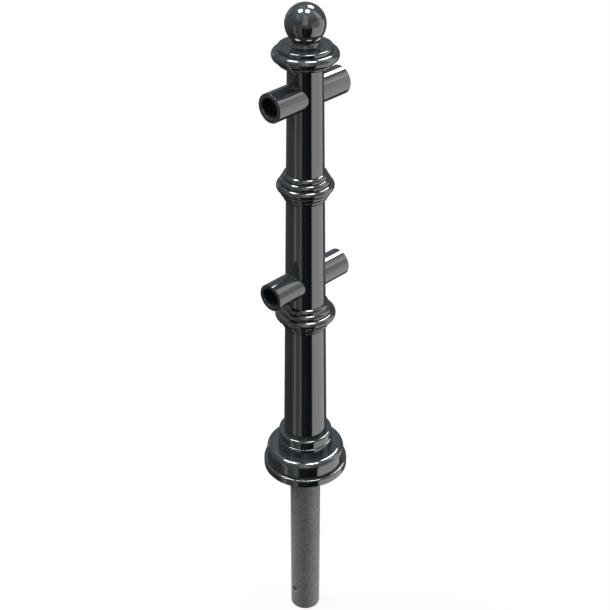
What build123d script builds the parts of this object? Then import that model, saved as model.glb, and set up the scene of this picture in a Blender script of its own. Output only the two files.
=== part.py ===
from build123d import *
import os
from math import sqrt

# Ground-set cast post with four sockets for two levels of tubular rail.
# Millimetres. Z is the post's axis, z = 0 is the ground, and the rails run along X.

# Root: a steel tube that is concreted in, and that carries the castings above the ground.
root_length = 490.0
root_od = 76.1
root_wall = 5.0
anchor_hole_d = 18.0
anchor_hole_height = 63.0  # above the root's lower end
seat_step = 0.55  # the castings' seat is turned down by this on the radius
tube_end_chamfer = 1.5

# Base plinth and the two-step ring on it. A ledge is the step out to the next wider piece.
flange_ledge = 8.0
flange_height = 19.4
flange_round = 3.8
plinth_ledge = 27.8
plinth_height = 62.4
plinth_round = 13.5
plinth_wall = 10.0
foot_recess = 4.0
ring_ledge = 2.5
ring_lower_height = 24.8
ring_lower_round = 2.3
ring_wall = 12.4
ring_height = 47.6
ring_upper_round = 4.8

# Three tapered shafts, stacked end to end above the plinth, each thicker at its foot
lower_shaft_length = 388.4
lower_foot_wall = 14.4
lower_top_wall = 9.6
middle_shaft_length = 334.5
middle_foot_wall = 14.75
middle_top_wall = 9.95
upper_shaft_length = 283.5
upper_foot_wall = 15.1
upper_top_wall = 11.15
shoulder = 3.0  # depth of the step that each collar and the cap sit on
spigot_length = 12.0
spigot_wall = 5.0

# Collars: five half-round beads, large in the middle, with small and medium ones mirrored.
# Each bead is (how far it stands proud of the shaft, its radius).
medium_bead_offset = 13.2
small_bead_offset = 25.1
lower_collar_beads = {"large": (23.2, 10.4), "medium": (13.0, 9.6), "small": (6.7, 9.6)}
upper_collar_beads = {"large": (21.7, 9.0), "medium": (13.7, 8.4), "small": (7.2, 8.4)}

# Cap and ball finial; the cap's height is above the top of the upper shaft's taper
cap_under_ledge = 19.85
cap_under_bead = 4.5
cap_bead_ledge = 12.8
cap_bead = 11.2
cap_step_setback = 13.1
cap_height = 40.7
cap_step_round = 3.5
cap_socket = 18.0
ball_d = 87.0
ball_centre = 44.9  # above the cap
neck_d = 56.0
neck_round = 2.0
neck_cove = 9.2
neck_spread = 4.9  # of the cove, from the neck out to its rim
neck_rim = 1.5
boss_d = 28.0
boss_length = 4.0

# Rail sockets
lower_rail_height = 88.9  # above the joint of the lower and middle shafts
upper_rail_drop = 68.5  # below the cap
socket_bore_d = 43.4
socket_wall = 10.6
socket_projection = 65.0  # from the shaft's surface to the mouth
socket_web = 16.0
mouth_round = 0.6
mouth_chamfer = 1.8

# Tie rod, plate and fasteners
rod_d = 16.0
rod_in_ball = 38.0
rod_tail = 5.0
rod_chamfer = 1.0
nut_across_flats = 24.0
nut_height = 13.0
rod_washer_d = 30.0
rod_washer_height = 3.0
plate_thickness = 12.0
plate_step = 3.0
plate_gap = 8.8  # between the plate and the middle shaft's spigot
screw_d = 10.0
screw_tip = 1.0  # how far the screw stands into the shaft's bore
screw_head_d = 16.0
screw_head_height = 6.0
screw_hex = 7.0
screw_hex_depth = 3.0
screw_washer_d = 20.0
screw_washer_height = 2.0
dowel_d = 4.0
dowel_length = 16.0
set_screw_d = 8.0
set_screw_hex = 4.0
set_screw_hex_depth = 4.5
set_screw_point = 1.0
set_screw_inset = 22.0  # from the socket's mouth
set_screw_recess = 0.6  # from the bore's wall to the screw's point

# Clearances, on the radius unless they are lengthwise
fit_clearance = 0.05
thread_clearance = 0.05
hole_clearance = 0.5
sleeve_clearance = 0.4
end_clearance = 0.1

# Radii that follow, from the root tube outwards
root_r = root_od / 2
seat_r = root_r - seat_step
lower_bore_r = seat_r + sleeve_clearance
middle_bore_r = lower_bore_r - fit_clearance - spigot_wall
upper_bore_r = middle_bore_r - fit_clearance - spigot_wall
lower_foot_r = lower_bore_r + lower_foot_wall
lower_top_r = lower_bore_r + lower_top_wall
middle_foot_r = middle_bore_r + middle_foot_wall
middle_top_r = middle_bore_r + middle_top_wall
upper_foot_r = upper_bore_r + upper_foot_wall
upper_top_r = upper_bore_r + upper_top_wall
lower_neck_r = lower_top_r - shoulder
upper_neck_r = middle_top_r - shoulder
cap_neck_r = upper_top_r - shoulder
ring_upper_r = lower_foot_r + ring_wall
ring_lower_r = ring_upper_r + ring_ledge
plinth_r = ring_lower_r + plinth_ledge
flange_r = plinth_r + flange_ledge
cap_under_r = upper_top_r + cap_under_ledge
cap_bead_r = cap_under_r + cap_bead_ledge
cap_step_r = cap_bead_r - cap_step_setback
ball_r = ball_d / 2
neck_r = neck_d / 2
socket_bore_r = socket_bore_d / 2
socket_r = socket_bore_r + socket_wall

# Heights that follow, from the ground up
ring_top = plinth_height + ring_height
lower_joint = plinth_height + lower_shaft_length
upper_joint = lower_joint + middle_shaft_length
cap_seat = upper_joint + upper_shaft_length
cap_top = cap_seat + cap_height
ball_z = cap_top + ball_centre
plate_bottom = lower_joint - spigot_length - plate_gap - plate_thickness
lower_rail = lower_joint + lower_rail_height
upper_rail = cap_seat - upper_rail_drop
pocket_depth = screw_washer_height + screw_head_height + end_clearance
set_screw_length = socket_wall - set_screw_recess

SIDES = {"left": -1, "right": 1}


def shaft_radius(foot_z, length, foot_r, top_r, z):
    """Outer radius of a shaft's straight taper at height z."""
    return foot_r + (top_r - foot_r) * (z - foot_z) / length


def collar_half_height(beads):
    """Where the outermost bead meets the shaft's surface, from the collar's middle."""
    proud, bead = beads["small"]
    return small_bead_offset + sqrt(bead**2 - (bead - proud) ** 2) - end_clearance


def write(piece, name):
    piece.part.label = name
    export_step(piece.part, f"parts/{name}.step")


def turned(points, rounds=()):
    """Face of a closed (radius, height) outline, with some corners rounded, and revolved."""
    with BuildSketch(Plane.XZ) as outline:
        with BuildLine():
            Polyline(*points, close=True)
        make_face()
        for corner, radius in rounds:
            fillet(outline.vertices().sort_by_distance(corner)[0], radius)
    revolve(outline.sketch, axis=Axis.Z)


lower_half = collar_half_height(lower_collar_beads)
upper_half = collar_half_height(upper_collar_beads)

# Each shaft's taper: height of its foot, length, foot and top radius
lower_taper = (plinth_height, lower_shaft_length, lower_foot_r, lower_top_r)
middle_taper = (lower_joint, middle_shaft_length, middle_foot_r, middle_top_r)
upper_taper = (upper_joint, upper_shaft_length, upper_foot_r, upper_top_r)

os.makedirs("parts", exist_ok=True)

# Root tube, stepped down at the ground so that the plinth rests on its shoulder
with BuildPart() as root_tube:
    bore_r = root_r - root_wall
    turned(
        [
            (bore_r, -root_length),
            (root_r - tube_end_chamfer, -root_length),
            (root_r, -root_length + tube_end_chamfer),
            (root_r, 0),
            (seat_r, 0),
            (seat_r, plate_bottom),
            (bore_r, plate_bottom),
        ]
    )
    with BuildSketch(Plane.YZ):
        with Locations((0, anchor_hole_height - root_length)):
            Circle(anchor_hole_d / 2)
    extrude(amount=root_od, both=True, mode=Mode.SUBTRACT)
write(root_tube, "root_tube")

# Plate welded on the tube's top, which the tie rod pulls against
with BuildPart() as root_top_plate:
    rod_hole_r = rod_d / 2 + hole_clearance
    turned(
        [
            (rod_hole_r, plate_bottom - plate_step),
            (root_r - root_wall - fit_clearance, plate_bottom - plate_step),
            (root_r - root_wall - fit_clearance, plate_bottom),
            (seat_r, plate_bottom),
            (seat_r, plate_bottom + plate_thickness),
            (rod_hole_r, plate_bottom + plate_thickness),
        ]
    )
write(root_top_plate, "root_top_plate")

# Tie rod with its washer and nut under the plate; the ball is screwed on its top
washer_z = plate_bottom - plate_step - rod_washer_height
nut_z = washer_z - nut_height
with BuildPart() as tie_rod:
    with BuildSketch(Plane.XY.offset(nut_z - rod_tail)):
        Circle(rod_d / 2)
    extrude(amount=cap_top + rod_in_ball - nut_z + rod_tail)
    chamfer(tie_rod.faces().filter_by(Axis.Z).edges(), length=rod_chamfer)
write(tie_rod, "tie_rod")

with BuildPart() as tie_rod_washer:
    with BuildSketch(Plane.XY.offset(washer_z)):
        Circle(rod_washer_d / 2)
        Circle(rod_hole_r, mode=Mode.SUBTRACT)
    extrude(amount=rod_washer_height)
write(tie_rod_washer, "tie_rod_washer")

with BuildPart() as tie_rod_nut:
    with BuildSketch(Plane.XY.offset(nut_z)):
        RegularPolygon(nut_across_flats / 2, 6, major_radius=False)
        Circle(rod_d / 2 + thread_clearance, mode=Mode.SUBTRACT)
    extrude(amount=nut_height)
write(tie_rod_nut, "tie_rod_nut")

# Plinth: a hollow casting with a hub on the tube and a recess for the lower shaft's foot
with BuildPart() as base_plinth:
    turned(
        [
            (seat_r + fit_clearance, 0),
            (flange_r, 0),
            (flange_r, flange_height),
            (plinth_r, flange_height),
            (plinth_r, plinth_height),
            (seat_r + fit_clearance, plinth_height),
        ],
        rounds=[
            ((flange_r, flange_height), flange_round),
            ((plinth_r, plinth_height), plinth_round),
        ],
    )
    with BuildSketch(Plane.XZ) as cavity:
        with BuildLine():
            Polyline(
                (seat_r + plinth_wall, 0),
                (flange_r - plinth_wall, 0),
                (flange_r - plinth_wall, flange_height - plinth_wall),
                (plinth_r - plinth_wall, flange_height),
                (plinth_r - plinth_wall, plinth_height - plinth_wall - foot_recess),
                (seat_r + plinth_wall, plinth_height - plinth_wall - foot_recess),
                close=True,
            )
        make_face()
        inner_corner = (plinth_r - plinth_wall, plinth_height - plinth_wall - foot_recess)
        fillet(cavity.vertices().sort_by_distance(inner_corner)[0], plinth_round - foot_recess)
    revolve(axis=Axis.Z, mode=Mode.SUBTRACT)
    with BuildSketch(Plane.XY.offset(plinth_height - foot_recess)):
        Circle(lower_foot_r + fit_clearance)
    extrude(amount=foot_recess, mode=Mode.SUBTRACT)
write(base_plinth, "base_plinth")

# Two-step ring that covers the joint of plinth and shaft
with BuildPart() as base_ring:
    step_z = plinth_height + ring_lower_height
    turned(
        [
            (lower_foot_r + fit_clearance, plinth_height),
            (ring_lower_r, plinth_height),
            (ring_lower_r, step_z),
            (ring_upper_r, step_z),
            (ring_upper_r, ring_top),
            (lower_foot_r + fit_clearance, ring_top),
        ],
        rounds=[
            ((ring_lower_r, step_z), min(ring_lower_round, ring_ledge - end_clearance)),
            ((ring_upper_r, ring_top), ring_upper_round),
        ],
    )
write(base_ring, "base_ring")

# Lower shaft: a plain foot inside the ring, then the taper up to the collar's neck
with BuildPart() as lower_shaft:
    neck_z = lower_joint - lower_half
    foot_z = plinth_height - foot_recess
    turned(
        [
            (lower_bore_r, foot_z),
            (lower_foot_r, foot_z),
            (lower_foot_r, ring_top),
            (shaft_radius(*lower_taper, neck_z), neck_z),
            (lower_neck_r, neck_z),
            (lower_neck_r, lower_joint),
            (lower_bore_r, lower_joint),
        ]
    )
    dowel_ring_r = (lower_bore_r + lower_neck_r) / 2
    with Locations(Plane.XY.offset(lower_joint)):
        with PolarLocations(dowel_ring_r, 2, start_angle=90):
            Hole(dowel_d / 2 + fit_clearance, depth=dowel_length / 2 + end_clearance)
write(lower_shaft, "lower_shaft")


def upper_section(name, taper, bore_r, foot_half, foot_neck_r, below_r, top, rail_z, top_dowels):
    """Shaft with a spigot and neck at its foot; top is its (neck radius, shoulder z, end z)."""
    foot_z = taper[0]
    spigot_r = below_r - fit_clearance
    top_neck_r, shoulder_z, end_z = top
    with BuildPart() as shaft:
        turned(
            [
                (bore_r, foot_z - spigot_length),
                (spigot_r, foot_z - spigot_length),
                (spigot_r, foot_z),
                (foot_neck_r, foot_z),
                (foot_neck_r, foot_z + foot_half),
                (shaft_radius(*taper, foot_z + foot_half), foot_z + foot_half),
                (shaft_radius(*taper, shoulder_z), shoulder_z),
                (top_neck_r, shoulder_z),
                (top_neck_r, end_z),
                (bore_r, end_z),
            ]
        )
        # Tapped holes for the two socket screws
        with BuildSketch(Plane.YZ):
            with Locations((0, rail_z)):
                Circle(screw_d / 2 + thread_clearance)
        extrude(amount=taper[2], both=True, mode=Mode.SUBTRACT)
        # Dowel holes in the foot, and in the top where another shaft stands on it
        with Locations(Plane.XY.offset(foot_z).rotated((180, 0, 0))):
            with PolarLocations((below_r + foot_neck_r) / 2, 2, start_angle=90):
                Hole(dowel_d / 2 + fit_clearance, depth=dowel_length / 2 + end_clearance)
        if top_dowels:
            with Locations(Plane.XY.offset(end_z)):
                with PolarLocations((bore_r + top_neck_r) / 2, 2, start_angle=90):
                    Hole(dowel_d / 2 + fit_clearance, depth=dowel_length / 2 + end_clearance)
    write(shaft, name)


upper_section(
    "middle_shaft", middle_taper, middle_bore_r, lower_half + end_clearance, lower_neck_r,
    lower_bore_r, (upper_neck_r, upper_joint - upper_half, upper_joint), lower_rail, True,
)
upper_section(
    "upper_shaft", upper_taper, upper_bore_r, upper_half + end_clearance, upper_neck_r,
    middle_bore_r, (cap_neck_r, cap_seat, cap_seat + cap_socket), upper_rail, False,
)


def collar(name, beads, joint_z, shaft_r, neck_r, half):
    """Bead stack round a joint, bored for the shafts' necks."""
    offsets = {"large": 0.0, "medium": medium_bead_offset, "small": small_bead_offset}
    with BuildPart() as ring:
        with BuildSketch(Plane.XZ):
            for size, (proud, bead) in beads.items():
                for side in (-1, 1):
                    with Locations((shaft_r + proud - bead, joint_z + side * offsets[size])):
                        Circle(bead)
            with Locations((0, joint_z)):
                Rectangle(2 * shaft_r, 2 * half)
                Rectangle(2 * (neck_r + fit_clearance), 4 * half, mode=Mode.SUBTRACT)
                Rectangle(4 * shaft_r, 2 * half, mode=Mode.INTERSECT)
            with Locations((-2 * shaft_r, joint_z)):
                Rectangle(4 * shaft_r, 4 * half, mode=Mode.SUBTRACT)
        revolve(axis=Axis.Z)
    write(ring, name)


collar("lower_collar", lower_collar_beads, lower_joint, lower_top_r, lower_neck_r, lower_half)
collar("upper_collar", upper_collar_beads, upper_joint, middle_top_r, upper_neck_r, upper_half)

# Dowels that stop the shafts turning on each other, two in each joint
with BuildPart() as joint_dowels:
    for joint_z, ring_r in (
        (lower_joint, (lower_bore_r + lower_neck_r) / 2),
        (upper_joint, (middle_bore_r + upper_neck_r) / 2),
    ):
        with BuildSketch(Plane.XY.offset(joint_z - dowel_length / 2)):
            with PolarLocations(ring_r, 2, start_angle=90):
                Circle(dowel_d / 2)
        extrude(amount=dowel_length)
write(joint_dowels, "joint_dowels")

# Cap: small under bead, large bead and flat step, with a socket for the shaft's neck
with BuildPart() as cap:
    bead_z = cap_seat + 2 * cap_under_bead + cap_bead
    with BuildSketch(Plane.XZ) as cap_outline:
        with Locations((0, bead_z)):
            Rectangle(cap_step_r, cap_top - bead_z, align=Align.MIN)
        fillet(cap_outline.vertices().sort_by_distance((cap_step_r, cap_top))[0], cap_step_round)
        with Locations((0, cap_seat)):
            Rectangle(cap_under_r - cap_under_bead, bead_z - cap_seat, align=Align.MIN)
        with Locations((cap_under_r - cap_under_bead, cap_seat + cap_under_bead)):
            Circle(cap_under_bead)
        with Locations((cap_bead_r - cap_bead, bead_z)):
            Circle(cap_bead)
    revolve(axis=Axis.Z)
    with BuildSketch(Plane.XY.offset(cap_seat)):
        Circle(cap_neck_r + fit_clearance)
    extrude(amount=cap_socket + end_clearance, mode=Mode.SUBTRACT)
    with BuildSketch(Plane.XY.offset(cap_top)):
        Circle(boss_d / 2 + fit_clearance)
    extrude(amount=-boss_length - end_clearance, mode=Mode.SUBTRACT)
    with BuildSketch(Plane.XY.offset(cap_top)):
        Circle(rod_d / 2 + hole_clearance)
    extrude(amount=-cap_height, mode=Mode.SUBTRACT)
write(cap, "cap")

# Ball finial on a short neck that spreads in a cove to a thin rim, tapped for the tie rod
with BuildPart() as ball_finial:
    with BuildSketch(Plane.XZ) as ball_outline:
        foot_r = neck_r + neck_spread
        cove_top = cap_top + neck_rim + sqrt(neck_cove**2 - (neck_cove - neck_spread) ** 2)
        with Locations((0, (cap_top + cove_top) / 2)):
            Rectangle(2 * foot_r, cove_top - cap_top)
        for side in (-1, 1):
            with Locations((side * (neck_r + neck_cove), cove_top)):
                Circle(neck_cove, mode=Mode.SUBTRACT)
        with Locations((0, (cap_top + ball_z) / 2)):
            Rectangle(neck_d, ball_z - cap_top)
        with Locations((0, ball_z)):
            Circle(ball_r)
        throat_z = ball_z - sqrt(ball_r**2 - neck_r**2)
        for side in (-1, 1):
            throat = ball_outline.vertices().sort_by_distance((side * neck_r, throat_z))[0]
            fillet(throat, neck_round)
        with Locations((0, cap_top - boss_length / 2)):
            Rectangle(boss_d, boss_length)
        with Locations((-ball_d, ball_z)):
            Rectangle(2 * ball_d, 4 * ball_d, mode=Mode.SUBTRACT)
    revolve(axis=Axis.Z)
    with BuildSketch(Plane.XY.offset(cap_top - boss_length)):
        Circle(rod_d / 2 + thread_clearance)
    extrude(amount=boss_length + rod_in_ball + 2, mode=Mode.SUBTRACT)
write(ball_finial, "ball_finial")


# Rail sockets and their screws. Each level has its rail's height, the taper that its
# sockets sit on and the bore of that shaft.
levels = {
    "lower": (lower_rail, middle_taper, middle_bore_r),
    "upper": (upper_rail, upper_taper, upper_bore_r),
}


def across(side, x, z):
    """Plane square to a socket at distance x from the axis, facing outwards."""
    return Plane(origin=(side * x, 0, z), x_dir=(0, 1, 0), z_dir=(side, 0, 0))


for level, (rail_z, taper, _) in levels.items():
    reach = shaft_radius(*taper, rail_z) + socket_projection
    bore_end = shaft_radius(*taper, rail_z) + socket_web
    pocket_end = bore_end - pocket_depth
    for side_name, side in SIDES.items():
        with BuildPart() as socket:
            with BuildSketch(across(side, 0, rail_z)):
                Circle(socket_r)
            extrude(amount=reach)
            mouth = socket.faces().filter_by(Axis.X).sort_by_distance((side * reach, 0, rail_z))[0]
            fillet(mouth.edges(), mouth_round)
            with BuildSketch(across(side, reach, rail_z)):
                Circle(socket_bore_r)
            extrude(amount=bore_end - reach, mode=Mode.SUBTRACT)
            mouth = socket.faces().filter_by(Axis.X).sort_by_distance((side * reach, 0, rail_z))[0]
            chamfer(mouth.edges().sort_by(SortBy.LENGTH)[0], mouth_chamfer)
            with BuildSketch(across(side, bore_end, rail_z)):
                Circle(screw_washer_d / 2 + hole_clearance)
            extrude(amount=-pocket_depth, mode=Mode.SUBTRACT)
            with BuildSketch(across(side, bore_end, rail_z)):
                Circle(screw_d / 2 + hole_clearance)
            extrude(amount=-bore_end, mode=Mode.SUBTRACT)
            # Inner end, coped to the shaft's taper
            foot_z, length, foot_r, top_r = taper
            top_z = foot_z + length
            with BuildSketch(Plane.XZ):
                with BuildLine():
                    Polyline((0, foot_z), (foot_r, foot_z), (top_r, top_z), (0, top_z), close=True)
                make_face()
            revolve(axis=Axis.Z, mode=Mode.SUBTRACT)
            # Tapped hole for the set screw, in the underside
            with BuildSketch(Plane.XY.offset(rail_z)):
                with Locations((side * (reach - set_screw_inset), 0)):
                    Circle(set_screw_d / 2 + thread_clearance)
            extrude(amount=-2 * socket_r, mode=Mode.SUBTRACT)
        write(socket, f"{level}_{side_name}_socket")

        with BuildPart() as set_screw:
            point_z = rail_z - socket_bore_r - set_screw_recess
            with BuildSketch(Plane.XY.offset(point_z)):
                with Locations((side * (reach - set_screw_inset), 0)):
                    Circle(set_screw_d / 2)
            extrude(amount=-set_screw_length)
            point = set_screw.faces().sort_by(Axis.Z)[-1]
            chamfer(point.edges(), set_screw_point)
            with BuildSketch(Plane.XY.offset(point_z - set_screw_length)):
                with Locations((side * (reach - set_screw_inset), 0)):
                    RegularPolygon(set_screw_hex / 2, 6, major_radius=False)
            extrude(amount=set_screw_hex_depth, mode=Mode.SUBTRACT)
        write(set_screw, f"{level}_{side_name}_set_screw")

# Socket screws and their washers, one of each behind every socket's bore
with BuildPart() as socket_screws:
    for rail_z, taper, shaft_bore_r in levels.values():
        head_x = shaft_radius(*taper, rail_z) + socket_web - pocket_depth + screw_washer_height
        for side in SIDES.values():
            with BuildSketch(across(side, head_x, rail_z)):
                Circle(screw_d / 2)
            extrude(amount=shaft_bore_r - screw_tip - head_x)
            with BuildSketch(across(side, head_x, rail_z)):
                Circle(screw_head_d / 2)
            extrude(amount=screw_head_height)
            with BuildSketch(across(side, head_x + screw_head_height, rail_z)):
                RegularPolygon(screw_hex / 2, 6, major_radius=False)
            extrude(amount=-screw_hex_depth, mode=Mode.SUBTRACT)
write(socket_screws, "socket_screws")

with BuildPart() as socket_washers:
    for rail_z, taper, shaft_bore_r in levels.values():
        washer_x = shaft_radius(*taper, rail_z) + socket_web - pocket_depth
        for side in SIDES.values():
            with BuildSketch(across(side, washer_x, rail_z)):
                Circle(screw_washer_d / 2)
                Circle(screw_d / 2 + hole_clearance, mode=Mode.SUBTRACT)
            extrude(amount=screw_washer_height)
write(socket_washers, "socket_washers")
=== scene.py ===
from math import cos, pi, radians, sin

import bpy
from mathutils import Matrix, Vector


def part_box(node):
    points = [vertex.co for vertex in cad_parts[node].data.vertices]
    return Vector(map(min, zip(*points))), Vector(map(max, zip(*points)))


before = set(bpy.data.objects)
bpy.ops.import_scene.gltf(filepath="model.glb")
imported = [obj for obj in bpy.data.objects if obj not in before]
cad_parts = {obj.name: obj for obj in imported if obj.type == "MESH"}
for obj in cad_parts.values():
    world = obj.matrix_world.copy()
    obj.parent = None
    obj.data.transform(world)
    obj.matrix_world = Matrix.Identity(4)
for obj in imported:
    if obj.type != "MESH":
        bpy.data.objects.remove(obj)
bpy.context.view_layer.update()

# ---------------------------------------------------------------- stage and camera

scene = bpy.context.scene
scene.view_settings.view_transform = "Standard"

CAMERA_AZIMUTH = radians(-45.2)  # from the front, turned towards the left rails
CAMERA_PITCH = radians(33.5)
CAMERA_DISTANCE = 3.02
CAMERA_LENS = 76.8
AIM_HEIGHT = 0.469
AIM_LEFT = 0.0008
FLOOR_SIZE = 60
FLOOR_GAP = 0.001  # under the root's lower end
FLOOR_GLOW = 0.90
FLOOR_GREY = 0.06
MM = 0.001

RIGHT = Vector((cos(CAMERA_AZIMUTH), sin(CAMERA_AZIMUTH), 0))
AWAY = Vector((-sin(CAMERA_AZIMUTH), cos(CAMERA_AZIMUTH), 0))
UP = Vector((0, 0, 1))


def linear(code):
    """sRGB hex colour as linear RGBA."""
    channels = [int(code[i : i + 2], 16) / 255 for i in (1, 3, 5)]
    return [c / 12.92 if c <= 0.04045 else ((c + 0.055) / 1.055) ** 2.4 for c in channels] + [1]


def node(tree, kind, settings=None, **inputs):
    """Adds a node; settings are its own fields, inputs are values or output sockets to link."""
    made = tree.nodes.new(kind)
    for name, value in (settings or {}).items():
        setattr(made, name, value)
    for name, value in inputs.items():
        key = int(name[1:]) if name[1:].isdigit() else name.replace("_", " ")
        socket = made.inputs[key]
        if isinstance(value, bpy.types.NodeSocket):
            tree.links.new(value, socket)
        else:
            socket.default_value = value
    return made


camera = bpy.data.objects.new("camera", bpy.data.cameras.new("camera"))
scene.collection.objects.link(camera)
scene.camera = camera
camera.data.lens = CAMERA_LENS
back = -AWAY * cos(CAMERA_PITCH) + UP * sin(CAMERA_PITCH)
camera.location = UP * AIM_HEIGHT - RIGHT * AIM_LEFT + back * CAMERA_DISTANCE
camera.rotation_euler = back.to_track_quat("Z", "Y").to_euler()

# Pale floor under the root's lower end. It glows a little, which keeps it an even white, and it's
# hidden from gloss and from diffuse bounces, so that below the level the post sees only the room.
floor_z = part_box("root_tube")[0].z
bpy.ops.object.select_all(action="DESELECT")
bpy.ops.mesh.primitive_plane_add(size=FLOOR_SIZE, location=(0, 0, floor_z - FLOOR_GAP))
floor = bpy.context.object
floor.name = "floor"
floor.visible_glossy = False
floor.visible_diffuse = False
floor_paper = bpy.data.materials.new("white_paper_floor")
floor_paper.use_nodes = True
tree = floor_paper.node_tree
tree.nodes.clear()
glow = node(tree, "ShaderNodeEmission", Color=(1, 1, 1, 1), Strength=FLOOR_GLOW)
paper = node(tree, "ShaderNodeBsdfDiffuse", Color=(FLOOR_GREY, FLOOR_GREY, FLOOR_GREY, 1))
both = node(tree, "ShaderNodeAddShader", i0=glow.outputs[0], i1=paper.outputs[0])
node(tree, "ShaderNodeOutputMaterial", Surface=both.outputs[0])
floor.data.materials.append(floor_paper)

# ---------------------------------------------------------------- studio

# A direction in the room is a turn from the camera's side, to the camera's right, and a rise
# above the level, both in degrees. First, the room's grey by its rise:
ROOM_GREYS = (
    (-90, 0.02), (-60, 0.02), (-36, 0.07), (-18, 0.15), (5, 0.18),
    (22, 0.20), (34, 0.22), (50, 0.38), (75, 0.58),
)
# Cards and walls round the post, each laid over those before it: turns, rises, grey, and the
# degrees over which its sides fade, and its top and bottom
CARDS = (
    ((-16, 16), (10, 62), 0.72, 26, 22),
    ((-66, -54), (36, 52), 0.75, 10, 10),
    ((-146, -132), (-6, 22), 0.45, 12, 12),
    ((-76, -19), (-60, 6), 0.19, 6, 8),
    ((-64, -56), (-60, 0), 0.57, 8, 8),
    ((-34, -22), (-60, 0), 0.35, 10, 8),
    ((-19, 38), (-70, -9), 0.02, 5, 5),
    ((10, 36), (-70, -9), 0.00, 8, 8),
    ((38, 124), (-53, 1), 1.10, 9, 7),
    ((34, 84), (-8, 20), 0.46, 14, 14),
    ((84, 112), (-8, 66), 1.00, 16, 12),
    ((132, 152), (-60, -20), 0.15, 10, 8),
)

# Above this rise the room's grey turns slightly blue, over the next SKY_FADE degrees
SKY_FROM = 10
SKY_FADE = 20
SKY_RED = -0.10
SKY_BLUE = 0.06

world = bpy.data.worlds.new("studio")
scene.world = world
world.use_nodes = True
tree = world.node_tree
tree.nodes.clear()
direction = node(tree, "ShaderNodeTexCoord").outputs["Generated"]
dot = {"operation": "DOT_PRODUCT"}
sideways = node(tree, "ShaderNodeVectorMath", dot, i0=direction, i1=RIGHT).outputs["Value"]
towards = node(tree, "ShaderNodeVectorMath", dot, i0=direction, i1=-AWAY).outputs["Value"]
upwards = node(tree, "ShaderNodeVectorMath", dot, i0=direction, i1=UP).outputs["Value"]
turn = node(tree, "ShaderNodeMath", {"operation": "ARCTAN2"}, i0=sideways, i1=towards).outputs[0]
rise = node(tree, "ShaderNodeMath", {"operation": "ARCSINE"}, i0=upwards).outputs[0]


def inside(value, low, high, soft):
    """1 where value is between low and high degrees, fading over soft degrees at both ends."""
    fades = []
    for edge, way in ((low, 1), (high, -1)):
        fade = node(
            tree, "ShaderNodeMapRange", {"interpolation_type": "SMOOTHSTEP"}, Value=value,
            From_Min=radians(edge - way * soft / 2), From_Max=radians(edge + way * soft / 2),
        )
        fades.append(fade.outputs[0])
    return node(tree, "ShaderNodeMath", {"operation": "MULTIPLY"}, i0=fades[0], i1=fades[1]).outputs[0]


height = node(
    tree, "ShaderNodeMapRange", Value=rise, From_Min=radians(-90), From_Max=radians(90)
).outputs[0]
ramp = node(tree, "ShaderNodeValToRGB", Fac=height)
stops = ramp.color_ramp.elements
while len(stops) < len(ROOM_GREYS):
    stops.new(1)
for stop, (angle, grey) in zip(stops, ROOM_GREYS):
    stop.position = (angle + 90) / 180
    sky_share = min(max((angle - SKY_FROM) / SKY_FADE, 0), 1)
    stop.color = (grey * (1 + SKY_RED * sky_share), grey, grey * (1 + SKY_BLUE * sky_share), 1)

# Soft blotches above eye level, as from a room's furniture and far walls
blotches = node(tree, "ShaderNodeTexNoise", Vector=direction, Scale=4.5, Detail=2.0, Roughness=0.5)
uneven = node(
    tree, "ShaderNodeMapRange", Value=blotches.outputs[0],
    From_Min=0.3, From_Max=0.7, To_Min=0.55, To_Max=1.45,
).outputs[0]
above = inside(rise, 2, 120, 14)

room = ramp.outputs[0]
for turns, rises, grey, side_fade, end_fade in CARDS:
    across = inside(turn, *turns, side_fade)
    along = inside(rise, *rises, end_fade)
    mask = node(tree, "ShaderNodeMath", {"operation": "MULTIPLY"}, i0=across, i1=along).outputs[0]
    room = node(
        tree, "ShaderNodeMix", {"data_type": "RGBA"}, i0=mask, i6=room, i7=(grey, grey, grey, 1)
    ).outputs[2]
blotched = node(
    tree, "ShaderNodeMix", {"data_type": "RGBA", "blend_type": "MULTIPLY"}, i0=above, i6=room,
    i7=uneven,
).outputs[2]
seen = node(tree, "ShaderNodeLightPath").outputs["Is Camera Ray"]
shown = node(tree, "ShaderNodeMix", {"data_type": "RGBA"}, i0=seen, i6=blotched, i7=(1, 1, 1, 1))
backdrop = node(tree, "ShaderNodeBackground", Color=shown.outputs[2], Strength=1.0)
node(tree, "ShaderNodeOutputWorld", Surface=backdrop.outputs[0])

LAMP_DISTANCE = 12.0
LAMP_ANGLE = 9.5  # half its width as seen from the post
LAMP_RADIANCE = 18.0


def lamp(name, turn_deg, rise_deg, mirrored=True):
    """Round softbox aimed at the post from a turn and a rise; mirrored is whether gloss shows it."""
    t, r = radians(turn_deg), radians(rise_deg)
    way = RIGHT * sin(t) * cos(r) - AWAY * cos(t) * cos(r) + UP * sin(r)
    light = bpy.data.lights.new(name, "AREA")
    light.shape = "DISK"
    radius = LAMP_DISTANCE * sin(radians(LAMP_ANGLE))
    light.size = 2 * radius
    light.energy = LAMP_RADIANCE * pi * pi * radius**2
    holder = bpy.data.objects.new(name, light)
    scene.collection.objects.link(holder)
    holder.visible_glossy = mirrored
    holder.location = UP * AIM_HEIGHT + way * LAMP_DISTANCE
    holder.rotation_euler = way.to_track_quat("Z", "Y").to_euler()


lamp("lamp_left", -106.4, 69)
lamp("lamp_right", 88.7, 81)
lamp("lamp_back", 153.4, 50.5)
lamp("fill_left", -100, 50, mirrored=False)

# ---------------------------------------------------------------- materials

# Object coordinates are in metres, so a pattern's Scale is one over the size of its features


def material(name):
    """New material with an empty node tree."""
    made = bpy.data.materials.new(name)
    made.use_nodes = True
    made.node_tree.nodes.clear()
    return made


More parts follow.
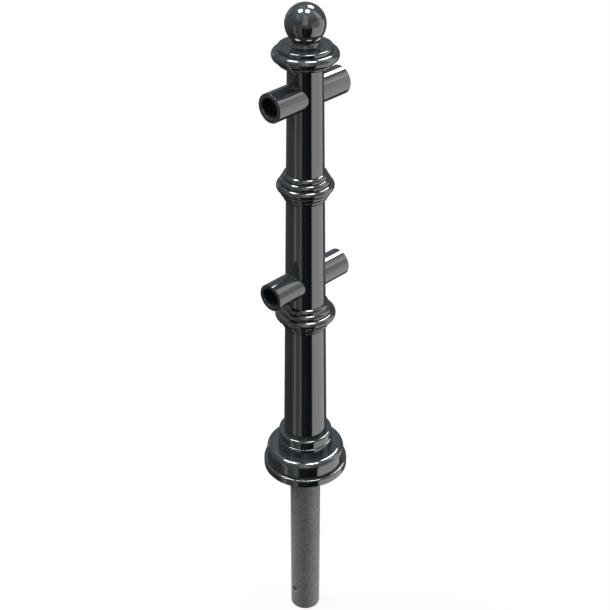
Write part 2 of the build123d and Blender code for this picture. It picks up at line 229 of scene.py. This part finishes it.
# Gloss enamel, sprayed and stoved on a smooth casting. It reads as wet black with a cold blue
# cast where the lamps fall on it, and mirrors the room in clean bands that waver very slightly.
# Orange peel on enamel is 2 to 4 mm across, too fine to show here, so it's drawn at 13 mm. The
# slow change of tone and gloss follows the casting's own unevenness, at 70 mm.
enamel = material("stoved_gloss_black_enamel_on_cast_iron")
tree = enamel.node_tree
place = node(tree, "ShaderNodeTexCoord").outputs["Object"]
peel = node(tree, "ShaderNodeTexNoise", Vector=place, Scale=1 / (13 * MM), Detail=1.0, Roughness=0.4)
waves = node(tree, "ShaderNodeTexNoise", Vector=place, Scale=1 / (70 * MM), Detail=2.0, Roughness=0.5)
skin = node(tree, "ShaderNodeBump", Strength=1.0, Distance=0.03 * MM, Height=peel.outputs[0])
tone = node(
    tree, "ShaderNodeMix", {"data_type": "RGBA"}, i0=waves.outputs[0],
    i6=linear("#23292d"), i7=linear("#282e32"),
)
gloss = node(tree, "ShaderNodeMapRange", Value=waves.outputs[0], To_Min=0.02, To_Max=0.05)
surface = node(
    tree, "ShaderNodeBsdfPrincipled", IOR=2.3, Base_Color=tone.outputs[2],
    Roughness=gloss.outputs[0], Normal=skin.outputs[0],
)
node(tree, "ShaderNodeOutputMaterial", Surface=surface.outputs[0])

# Hot-rolled tube, grit-blasted and left bare. It reads as dull dry grey with a salt-and-pepper
# grain over soft clouds of 45 mm, and a dusty bloom that lightens it towards its edges.
# Grit marks are under 1 mm, too fine to show, so the grain is drawn at 4 mm.
blasted = material("grit_blasted_bare_steel")
tree = blasted.node_tree
place = node(tree, "ShaderNodeTexCoord").outputs["Object"]
grain = node(tree, "ShaderNodeTexNoise", Vector=place, Scale=1 / (4 * MM), Detail=2.0, Roughness=0.7)
clouds = node(tree, "ShaderNodeTexNoise", Vector=place, Scale=1 / (45 * MM), Detail=2.0, Roughness=0.5)
dark = node(
    tree, "ShaderNodeMix", {"data_type": "RGBA"}, i0=clouds.outputs[0],
    i6=linear("#70706f"), i7=linear("#7e7e7d"),
)
speck = node(tree, "ShaderNodeMapRange", Value=grain.outputs[0], From_Min=0.34, From_Max=0.78)
grey = node(
    tree, "ShaderNodeMix", {"data_type": "RGBA"}, i0=speck.outputs[0],
    i6=dark.outputs[2], i7=linear("#b4b4b2"),
)
rough = node(tree, "ShaderNodeMapRange", Value=grain.outputs[0], To_Min=0.50, To_Max=0.75)
pits = node(tree, "ShaderNodeBump", Strength=0.6, Distance=0.3 * MM, Height=grain.outputs[0])
surface = node(
    tree, "ShaderNodeBsdfPrincipled", Metallic=0.3, Base_Color=grey.outputs[2],
    Roughness=rough.outputs[0], Normal=pits.outputs[0], Sheen_Weight=0.4, Sheen_Roughness=0.4,
)
node(tree, "ShaderNodeOutputMaterial", Surface=surface.outputs[0])

# Zinc plating, bright passivated, on the rod and fasteners inside. It reads as a soft silvery
# white with a faint cold mottle of 5 mm, a third of the rod's width.
zinc = material("bright_zinc_plated_steel")
tree = zinc.node_tree
place = node(tree, "ShaderNodeTexCoord").outputs["Object"]
mottle = node(tree, "ShaderNodeTexNoise", Vector=place, Scale=1 / (5 * MM), Detail=3.0, Roughness=0.6)
silver = node(
    tree, "ShaderNodeMix", {"data_type": "RGBA"}, i0=mottle.outputs[0],
    i6=linear("#a9adb2"), i7=linear("#ccd0d2"),
)
rough = node(tree, "ShaderNodeMapRange", Value=mottle.outputs[0], To_Min=0.25, To_Max=0.45)
surface = node(
    tree, "ShaderNodeBsdfPrincipled", Metallic=1.0, Base_Color=silver.outputs[2],
    Roughness=rough.outputs[0],
)
node(tree, "ShaderNodeOutputMaterial", Surface=surface.outputs[0])

# Black oxide on the set screws, oiled. It reads as soft charcoal, duller than the enamel round
# it, with darker blotches of 2 mm, a quarter of the screw's width.
oxide = material("oiled_black_oxide_steel")
tree = oxide.node_tree
place = node(tree, "ShaderNodeTexCoord").outputs["Object"]
blotch = node(tree, "ShaderNodeTexNoise", Vector=place, Scale=1 / (2 * MM), Detail=2.0, Roughness=0.6)
charcoal = node(
    tree, "ShaderNodeMix", {"data_type": "RGBA"}, i0=blotch.outputs[0],
    i6=linear("#1c1c1e"), i7=linear("#3b3b3d"),
)
rough = node(tree, "ShaderNodeMapRange", Value=blotch.outputs[0], To_Min=0.35, To_Max=0.55)
surface = node(
    tree, "ShaderNodeBsdfPrincipled", Metallic=1.0, Base_Color=charcoal.outputs[2],
    Roughness=rough.outputs[0],
)
node(tree, "ShaderNodeOutputMaterial", Surface=surface.outputs[0])

BARE = ("root_tube", "root_top_plate")
PLATED = (
    "tie_rod", "tie_rod_washer", "tie_rod_nut", "joint_dowels", "socket_screws", "socket_washers",
)
for name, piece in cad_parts.items():
    look = enamel
    if name in BARE:
        look = blasted
    elif name in PLATED:
        look = zinc
    elif name.endswith("set_screw"):
        look = oxide
    piece.data.materials.clear()
    piece.data.materials.append(look)
